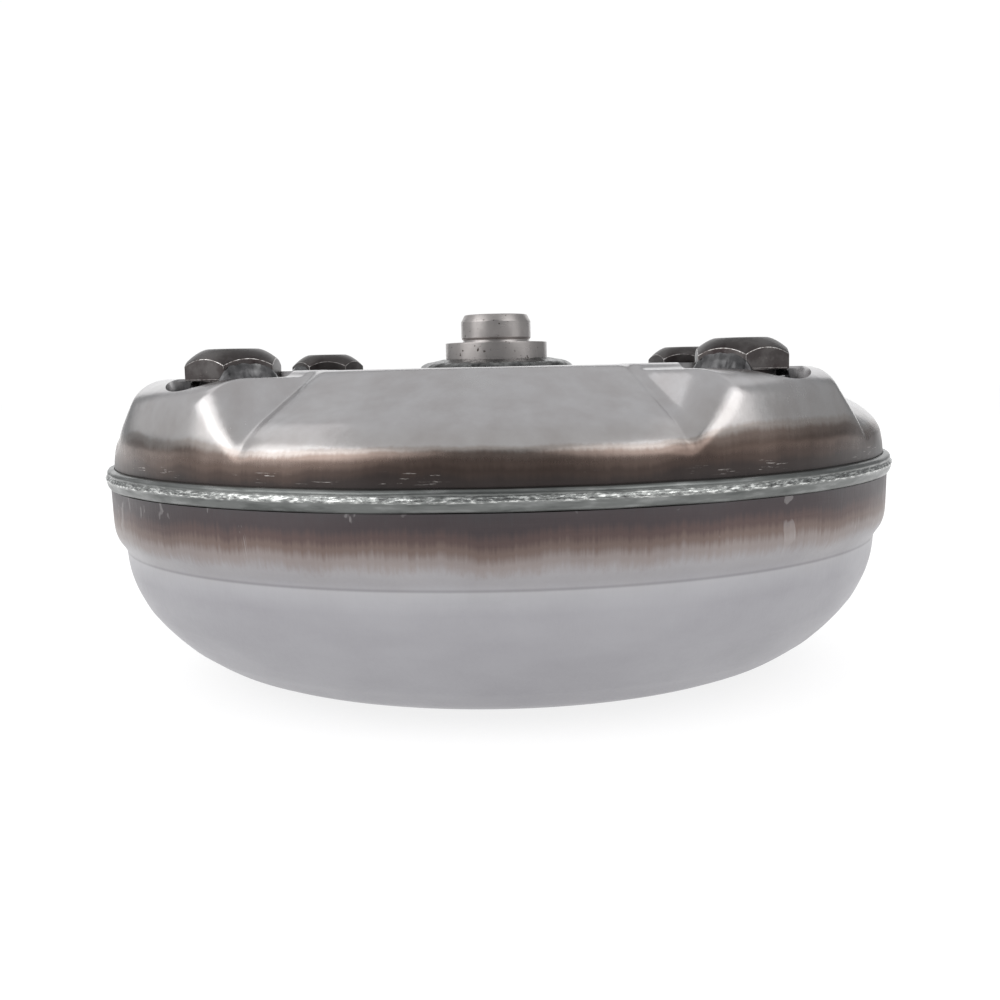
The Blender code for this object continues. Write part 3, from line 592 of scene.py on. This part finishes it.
def cover_reach(turn, rays, lines):
    """Ray lengths from the cover's heart to its outside, at a turn from the nearest lobe's middle."""
    cone, shelf, scoop_wall, lobe_wall = lines
    fall = SIDE_FALL_BESIDE * abs(math.sin(turn)) + SIDE_FALL_ALONG * math.cos(turn)
    side = (SIDE_LEVEL - fall * COVER_HEART[0] - COVER_HEART[1]) / (np.sin(rays) + fall * np.cos(rays))
    lobe = soft_least(shelf, side, SIDE_EASE)
    ditch = CREASE_DEPTH * np.exp(-(((cone - lobe - CREASE_PLACE) / CREASE_WIDTH) ** 2))
    top = soft_most(cone - ditch, lobe, CREASE_EASE)
    share = np.interp(abs(math.degrees(turn)), WALL_TURN, (1.0, 0.0))
    share = share * share * (3.0 - 2.0 * share)
    wall = scoop_wall + (lobe_wall - scoop_wall) * share
    return soft_least(top, wall, WALL_SCOOP_EASE + (WALL_LOBE_EASE - WALL_SCOOP_EASE) * share)


def spot_cutters():
    """One turned cutter for the spot face round each nut."""
    profile = eased(
        [(0, NUT_BASE), (SPOT_PAD_RADIUS, NUT_BASE, 0.2), (SPOT_PAD_RADIUS + 0.7, SPOT_FLOOR, 0.4),
         (SPOT_RADIUS - 0.6, SPOT_FLOOR, 0.5), (SPOT_RADIUS, 95.7, 0.2), (SPOT_RADIUS + 0.25, 96.3, 0.2),
         (SPOT_RADIUS + 0.5, 99.0, 0.1), (0, 99.0)], steps=3,
    )
    cutters = []
    for angle in around(LOBES, NUT_ANGLE):
        cutter = turned("spot_cutter", profile, 96)
        cutter.location = on_circle((NUT_CIRCLE + SPOT_SHIFT) * MM, angle)
        cutters.append(cutter)
    return cutters


def cover_skin():
    """The drawn cover: a flat top, four lobes that carry the nuts, and a shallow cone between each two."""
    sectors = 576
    heart_radius, heart_height = COVER_HEART
    inside_top = COVER_TOP - COVER_THICK
    rays = np.linspace(0.0, math.pi / 2, 141)
    eases = ((CONE_LINE, 1.1), (SHELF_LINE, 1.1), (SCOOP_WALL, 1.1), (LOBE_WALL, 1.3))
    lines = [ray_lengths(smoothed(line, width), rays) for line, width in eases]
    # The inside stays under a plane below the spot faces.
    spot_plane = (NUT_BASE - COVER_THICK - heart_height) / np.maximum(np.sin(rays), 1e-3)
    step = math.tau / LOBES
    vertices = []
    for angle in around(sectors):
        turn = (angle - math.radians(LOBE_ANGLE) + step / 2) % step - step / 2
        reach = cover_reach(turn, rays, lines)
        wave = COVER_WAVE * ring_noise(3.1, angle)
        outside = [(heart_radius + (length + wave * math.cos(ray)) * math.cos(ray),
                    heart_height + (length + wave * math.cos(ray)) * math.sin(ray))
                   for length, ray in zip(reach, rays)]
        inside = [(heart_radius + length * math.cos(ray), heart_height + length * math.sin(ray))
                  for length, ray in zip(np.minimum(reach - COVER_THICK, spot_plane), rays)]
        outside = [(outside[0][0], SKIRT_BOTTOM)] + outside[1:]
        outside += [(radius, COVER_TOP) for radius in COVER_RINGS]
        inside = [(inside[0][0], SKIRT_BOTTOM)] + inside[4::4]
        inside += [(radius, inside_top) for radius in (COVER_INSIDE_RADIUS, *COVER_RINGS)]
        vertices += [on_circle(radius, angle, height) for radius, height in outside + inside[::-1]]
    outer = len(outside)
    count = outer + len(inside)
    faces = ring_faces(sectors, count, left_out=(outer - 1,))
    # A flat disc closes the middle, above and below.
    for index in (outer - 1, outer):
        faces.append([sector * count + index for sector in range(sectors)])
    skin = mesh_object("cover_skin", vertices, faces, 50.0)
    cutters = spot_cutters()
    for cutter in cutters:
        cut = skin.modifiers.new("spot", "BOOLEAN")
        cut.object = cutter
        cut.operation = "DIFFERENCE"
        cut.solver = "EXACT"
    bpy.context.view_layer.update()
    applied(skin, 40.0)
    for cutter in cutters:
        bpy.data.objects.remove(cutter)
    return dress(skin, cover_steel, "housing", "pressed_steel", "front_cover")


BOWL_LINE = (
    (41.0, 19.0), (42.6, 15.6), (46.0, 10.9), (50.5, 6.8), (56.0, 3.6), (62.0, 1.2), (69.0, 0.05),
    (74.0, 0.0), (80.0, 0.05), (87.0, 1.5), (94.0, 3.4), (99.2, 5.5), (102.5, 7.5), (108.3, 11.5),
    (112.6, 15.5), (116.3, 19.5), (119.7, 23.9), (121.8, 27.9), (123.4, 31.5), (124.6, 35.5), (125.3, 39.5),
    (125.45, 42.6), (126.4, 44.4), (127.9, 46.3), (128.8, 48.8), (129.1, 52.0), (129.4, 62.4),
)
BOWL_EASE = 0.8
BOWL_THICK = 3.0
BOWL_WALL = ((124.8, 62.4), (124.8, 71.9), (121.8, 71.9), (121.8, 46.0))  # laps inside the cover
BOWL_INSIDE_TOP = 41.0  # the inside follows the outside up to here


def bowl_skin():
    """The impeller shell: a deep round bowl, a small step, and a wall that laps inside the cover."""
    line = thinned(smoothed(BOWL_LINE, BOWL_EASE))
    line[:, 1] = np.maximum(line[:, 1], 0.0)
    along = np.gradient(line, axis=0)
    along /= np.hypot(*along.T)[:, None]
    inner = line + np.stack([-along[:, 1], along[:, 0]], 1) * BOWL_THICK
    inner = inner[line[:, 1] < BOWL_INSIDE_TOP][::3]
    outline = [*map(tuple, line), *BOWL_WALL, *map(tuple, inner[::-1])]
    skin = turned("bowl_skin", outline, 320, 50.0)
    return dress(skin, bowl_steel, "housing", "bowl_steel", "impeller_shell")


def seam_bead():
    """The seam weld: a rippled upper bead with a smoother lip under it and a groove between the two."""
    outline = [
        (128.25, 62.45), (129.3, 62.45), (129.95, 62.75), (130.35, 63.35), (130.6, 64.0), (130.7, 64.6),
        (130.85, 65.1), (131.0, 65.5), (130.95, 65.9), (130.55, 66.4), (130.3, 66.75), (130.45, 67.1),
        (130.4, 67.6), (130.0, 68.2), (129.2, 68.55), (128.25, 68.6),
    ]

    def ripple(radius, height, angle):
        if radius < 128.5:
            return radius, height
        crest = max(0.0, 1.0 - abs(height - 66.0) / 1.4)
        lump = ring_noise(38, angle, height * 0.5)
        wave = ring_noise(6, angle, 4.0)
        fine = ring_noise(110, angle, height)
        out = crest * (0.10 * lump + 0.05 * fine) + 0.03 * lump + 0.05 * wave - 0.10
        return radius + min(out, 0.0), height + 0.20 * wave + 0.10 * crest * lump

    bead = turned("seam_bead", outline, 1440, 60.0, ripple)
    return dress(bead, seam_metal, "housing", "weld_steel", "seam_weld")


def pilot_boss():
    """The crank pilot: a turned nose with a wide chamfer on a broader collar."""
    corners = [
        (0, 98.2), (17.5, 98.2, 0), (17.5, 106.4, 0.35), (11.6, 106.4, 0), (11.4, 107.3, 0.3),
        (12.0, 107.9, 0.25), (12.0, 113.5, 0.15), (10.75, 115.9, 0.3), (5.2, 115.9, 0.25), (3.6, 114.1, 0),
        (0, 113.4),
    ]
    boss = turned("pilot_boss", eased(corners, 0.3), 160, 28.0)
    return dress(boss, turned_steel, "housing", "machined_steel", "crank_pilot")


def pilot_bead():
    """The low lumpy weld that runs round the pilot's collar."""
    outline = [
        (17.8, 98.2), (26.3, 98.2), (26.1, 98.6), (25.2, 99.2), (24.0, 99.7), (22.2, 100.1), (20.2, 100.4),
        (18.6, 100.7), (17.8, 100.75),
    ]

    def lumps(radius, height, angle):
        if height < 98.3:
            return radius, height
        lump = ring_noise(2.6, angle, radius * 0.30)
        fine = ring_noise(11, angle, radius * 0.8)
        crest = 0.30 * math.sin(angle * 34 + 0.35 * radius) * (1 if radius > 18.5 else 0.3)
        return radius, max(98.25, height + 0.55 * lump + 0.22 * fine + 0.12 * crest - 0.1)

    bead = turned("pilot_bead", outline, 480, 60.0, lumps)
    return dress(bead, weld_metal, "housing", "weld_steel", "pilot_weld")


NUT_APOTHEM = 12.5
NUT_TOP = 104.6
NUT_CROWN = 7.6  # the radius where the top's cone begins
NUT_SLOPE = 0.30  # the cone steepens outward from the crown
NUT_CURVE = 0.060
THREAD_RADIUS = 4.85
THREAD_DEPTH = 0.45
THREAD_PITCH = 1.25
THREAD_MOUTH = 0.8
NUT_FOOT_RADIUS = 9.8
NUT_FOOT_TOP = 95.6
NUT_EDGE_WEAR = 0.16


def hex_nut(number, place_angle, turn):
    """A hexagon weld nut: a deep cone cuts its top corners into arcs, and the bore is threaded."""
    spokes = 144
    rows = 44
    bottom = NUT_BASE + 0.3
    vertices = []
    for index in range(spokes):
        angle = math.tau * index / spokes
        off = (angle + math.pi / 6) % (math.pi / 3) - math.pi / 6
        flat = NUT_APOTHEM / math.cos(math.pi / 6 - abs(off))
        column = [
            (NUT_FOOT_RADIUS, bottom), (NUT_FOOT_RADIUS, NUT_FOOT_TOP), (flat - 0.35, NUT_FOOT_TOP),
            (flat, NUT_FOOT_TOP + 0.35),
        ]
        for share in (1.0, 0.8, 0.6, 0.4, 0.2):
            beyond = (flat - NUT_CROWN) * share
            column.append((NUT_CROWN + beyond, NUT_TOP - NUT_SLOPE * beyond - NUT_CURVE * beyond * beyond))
        column += [
            (NUT_CROWN + 0.25, NUT_TOP - 0.10), (NUT_CROWN - 0.2, NUT_TOP),
            (THREAD_RADIUS + 0.75, NUT_TOP), (THREAD_RADIUS, NUT_TOP - THREAD_MOUTH),
        ]
        deep = NUT_TOP - THREAD_MOUTH
        for row in range(1, rows):
            height = deep - (deep - bottom) * row / rows
            phase = (height / THREAD_PITCH - index / spokes) % 1.0
            tooth = abs(2 * phase - 1)
            column.append((THREAD_RADIUS - THREAD_DEPTH * tooth, height))
        column.append((THREAD_RADIUS, bottom))
        vertices += [on_circle(radius, angle + math.radians(turn), height) for radius, height in column]
    nut = mesh_object(f"hex_nut_{number}", vertices, ring_faces(spokes, len(column)), 25.0)
    nut.data.materials.append(nut_steel)
    nut.data.materials.append(bare_edge)
    wear = nut.modifiers.new("wear", "BEVEL")
    wear.width = NUT_EDGE_WEAR * MM
    wear.segments = 2
    wear.limit_method = "ANGLE"
    wear.angle_limit = math.radians(38)
    wear.material = 1
    applied(nut, 30.0)
    nut.data.transform(Matrix.Translation(on_circle(NUT_CIRCLE * MM, place_angle)))
    return dress(nut, nut_steel, "housing", "nut_steel", f"drive_nut_{number}")


FILLET_HALF_LENGTH = 9.3
FILLET_RISE = 8.6
FILLET_REACH = 4.3


def nut_weld(name, place_angle, face_angle, seed):
    """One fillet weld up a nut's side: it leans on the flat and spreads over the cover in lumps."""
    along_steps = 80
    profile = 16
    floor = SPOT_FLOOR + 0.1
    vertices = []
    for step in range(along_steps + 1):
        t = 2 * step / along_steps - 1
        end = math.sqrt(max(0.0, 1 - abs(t) ** 4))
        lump = noise.noise(Vector((t * 2.6, seed, 0.0)))
        scallop = abs(math.sin(t * 7.0 + seed))
        top = floor + (FILLET_RISE - 1.6 * t * t + 0.5 * lump + 0.30 * scallop) * (0.25 + 0.75 * end)
        foot_out = (FILLET_REACH + 0.9 * lump) * (0.35 + 0.65 * end)
        for row in range(profile + 1):
            s = row / profile
            bulge = math.sin(math.pi * s) * (0.9 + 0.5 * noise.noise(Vector((t * 4.5, s * 2.0, seed))))
            out = 0.15 + 0.45 * min(1.0, s * 8) * end + foot_out * s ** 1.35 + bulge * 0.7 * end
            height = top + (floor - top) * s ** 0.85
            height += 0.16 * noise.noise(Vector((t * 11.0, s * 5.0, seed + 5.0))) * end
            vertices.append((NUT_APOTHEM + out, t * FILLET_HALF_LENGTH, max(height, floor)))
        vertices.append((NUT_APOTHEM - 0.6, t * FILLET_HALF_LENGTH, floor))
        vertices.append((NUT_APOTHEM - 0.6, t * FILLET_HALF_LENGTH, top - 0.15))
    count = profile + 3
    faces = ring_faces(along_steps + 1, count, closed=False)
    faces.append(list(range(count))[::-1])
    faces.append([along_steps * count + row for row in range(count)])
    weld = mesh_object(name, vertices, faces, 60.0)
    middle = Matrix.Translation(on_circle(NUT_CIRCLE * MM, place_angle))
    weld.data.transform(middle @ Matrix.Rotation(face_angle, 4, "Z"))
    return dress(weld, fillet_metal, "housing", "weld_steel")


def drive_nuts():
    """The four nuts, each with a fillet weld on the two flats that face most nearly round the cover."""
    sixth = math.pi / 3
    for index, angle in enumerate(around(LOBES, NUT_ANGLE)):
        number = index + 1
        hex_nut(number, angle, NUT_TURNS[index])
        first = math.radians(NUT_TURNS[index] + 30)
        for side, name, seed in ((1, "a", 0.9), (-1, "b", 4.3)):
            wanted = angle + side * math.pi / 2
            face_angle = first + round((wanted - first) / sixth) * sixth
            nut_weld(f"nut_weld_{number}{name}", angle, face_angle, 1.7 * number + seed)


def pump_hub():
    """The hub that drives the oil pump: a ground journal with a plain bore, welded into the bowl."""
    corners = [
        (19.0, 2.8, 0), (19.8, 2.0, 0.2), (23.6, 2.0, 0.3), (25.0, 3.9, 0.4), (25.0, 17.6, 0.3),
        (25.9, 18.6, 0.4), (40.4, 18.6, 0.3), (40.4, 25.4, 0.3), (19.0, 25.4, 0.3),
    ]
    hub = turned("pump_hub", eased(corners, 0.3), 160, 28.0)
    dress(hub, ground_steel, "housing", "machined_steel", "impeller_hub")
    fillet = [
        (36.4, 18.5), (38.2, 17.4), (40.2, 16.5), (42.1, 15.2), (42.9, 14.6), (42.6, 16.6), (41.6, 18.6),
        (40.2, 18.55),
    ]

    def lumps(radius, height, angle):
        lump = ring_noise(6, angle, radius * 0.5)
        inside = height > 18.0 or radius > 42.3
        return radius, height if inside else height - 0.25 * lump - 0.10 * math.sin(angle * 90)

    fillet_weld = turned("hub_bead", fillet, 720, 60.0, lumps)
    dress(fillet_weld, weld_metal, "housing", "weld_steel")


cover_skin()
bowl_skin()
seam_bead()
pilot_boss()
pilot_bead()
drive_nuts()
pump_hub()

carried_looks = {
    sheet_steel: ("impeller_blades", "turbine_shell", "turbine_blades", "damper_driven_plate",
                  "damper_drive_plate", "lockup_piston"),
    ground_steel: ("clutch_outer_race", "clutch_inner_race", "rear_bearing_race", "front_bearing_race",
                   "rear_bearing_needles", "front_bearing_needles", "turbine_rivet", "clutch_roller"),
    turned_steel: ("turbine_hub",),
    spring_steel: ("damper_spring", "roller_spring"),
    cast_aluminium: ("stator_wheel",),
    friction_paper: ("friction_lining",),
    seal_resin: ("piston_seal_ring",),
    phenolic: ("stator_rear_cap", "stator_front_cap", "cover_thrust_washer"),
}
for material, names in carried_looks.items():
    for name, node in nodes.items():
        if name.startswith(names):
            for slot in node.material_slots:
                slot.material = material


# ---------------------------------------------------------------- studio


FLOOR_HALF = 4.0
LIGHT_AIM = Vector((0.0, 0.0, 0.07))
# Name, azimuth, elevation, distance, size and brightness, in degrees and metres. Azimuth 0 is on the
# camera's side and grows to the right.
LIGHTS = (
    ("left_box", -58, 31, 1.0, (0.55, 0.45), 1.3),
    ("left_halo", -58, 33, 1.05, (1.05, 0.75), 1.25),
    ("right_box", 48, 33, 1.0, (0.50, 0.45), 1.0),
    ("right_halo", 50, 35, 1.05, (0.95, 0.75), 0.95),
    ("left_wall", -106, 34, 1.2, (1.0, 1.3), 0.44),
    ("right_wall", 102, 34, 1.2, (1.0, 1.3), 0.16),
    ("left_low", -62, 4, 1.1, (0.85, 0.45), 0.8),
    ("right_low", 60, 4, 1.1, (0.85, 0.45), 0.42),
    ("ceiling", 180, 84, 1.4, (2.4, 2.4), 0.43),
    ("back_wall", 180, 16, 1.5, (2.2, 1.1), 0.85),
)
CAMERA_EYE = Vector((0.000169, -0.41535, 0.09708))
CAMERA_TARGET = Vector((0.000169, 0.0, 0.0515))
CAMERA_ROLL = -1.230
CAMERA_LENS = 42.764
CAMERA_SENSOR = 36.0


def floor():
    bm = bmesh.new()
    bmesh.ops.create_grid(bm, x_segments=1, y_segments=1, size=FLOOR_HALF)
    mesh = bpy.data.meshes.new("floor")
    bm.to_mesh(mesh)
    bm.free()
    made = bpy.data.objects.new("floor", mesh)
    bpy.context.collection.objects.link(made)
    material = bpy.data.materials.new("pale_floor")
    material.use_nodes = True
    shader = material.node_tree.nodes["Principled BSDF"]
    shader.inputs["Base Color"].default_value = (0.20, 0.20, 0.202, 1.0)
    shader.inputs["Roughness"].default_value = 0.9
    shader.inputs["Emission Color"].default_value = (1.0, 1.0, 1.0, 1.0)
    shader.inputs["Emission Strength"].default_value = 0.80
    mesh.materials.append(material)


def area_light(name, azimuth, elevation, distance, size, brightness):
    """A soft rectangular light that faces the object."""
    data = bpy.data.lights.new(name, "AREA")
    data.shape = "RECTANGLE"
    data.size, data.size_y = size
    data.energy = brightness * math.pi * size[0] * size[1]
    light = bpy.data.objects.new(name, data)
    bpy.context.collection.objects.link(light)
    turn, rise = math.radians(azimuth), math.radians(elevation)
    out = Vector((math.sin(turn) * math.cos(rise), -math.cos(turn) * math.cos(rise), math.sin(rise)))
    light.location = LIGHT_AIM + out * distance
    light.rotation_euler = out.to_track_quat("Z", "Y").to_euler()
    light.visible_camera = False


def surroundings():
    """White where the camera sees it and on dull surfaces, and a dim grey room in reflections."""
    world = bpy.data.worlds.new("studio")
    bpy.context.scene.world = world
    world.use_nodes = True
    tree = world.node_tree
    tree.nodes.clear()
    path = shader_node(tree, "LightPath")
    backdrop = shader_node(tree, "Background", {"Color": (1, 1, 1, 1), "Strength": 1.02})
    room = shader_node(tree, "Background", {"Color": (0.96, 0.98, 1.0, 1), "Strength": 0.32})
    plain = calc(tree, "MAXIMUM", path.outputs["Is Camera Ray"], path.outputs["Is Diffuse Ray"])
    mixed = shader_node(tree, "MixShader", {0: plain, 1: room.outputs[0], 2: backdrop.outputs[0]})
    output = shader_node(tree, "OutputWorld")
    tree.links.new(mixed.outputs[0], output.inputs["Surface"])


def studio():
    floor()
    surroundings()
    for row in LIGHTS:
        area_light(*row)
    bpy.context.scene.view_settings.view_transform = "Standard"


def camera():
    data = bpy.data.cameras.new("camera")
    data.lens = CAMERA_LENS
    data.sensor_width = CAMERA_SENSOR
    data.clip_start = 0.01
    made = bpy.data.objects.new("camera", data)
    bpy.context.collection.objects.link(made)
    roll = math.radians(CAMERA_ROLL)
    forward = (CAMERA_TARGET - CAMERA_EYE).normalized()
    right = forward.cross(Vector((0, 0, 1))).normalized()
    up = right.cross(forward)
    tilted_right = math.cos(roll) * right + math.sin(roll) * up
    tilted_up = -math.sin(roll) * right + math.cos(roll) * up
    basis = Matrix((tilted_right, tilted_up, -forward)).transposed().to_4x4()
    made.matrix_world = Matrix.Translation(CAMERA_EYE) @ basis
    bpy.context.scene.camera = made


studio()
camera()
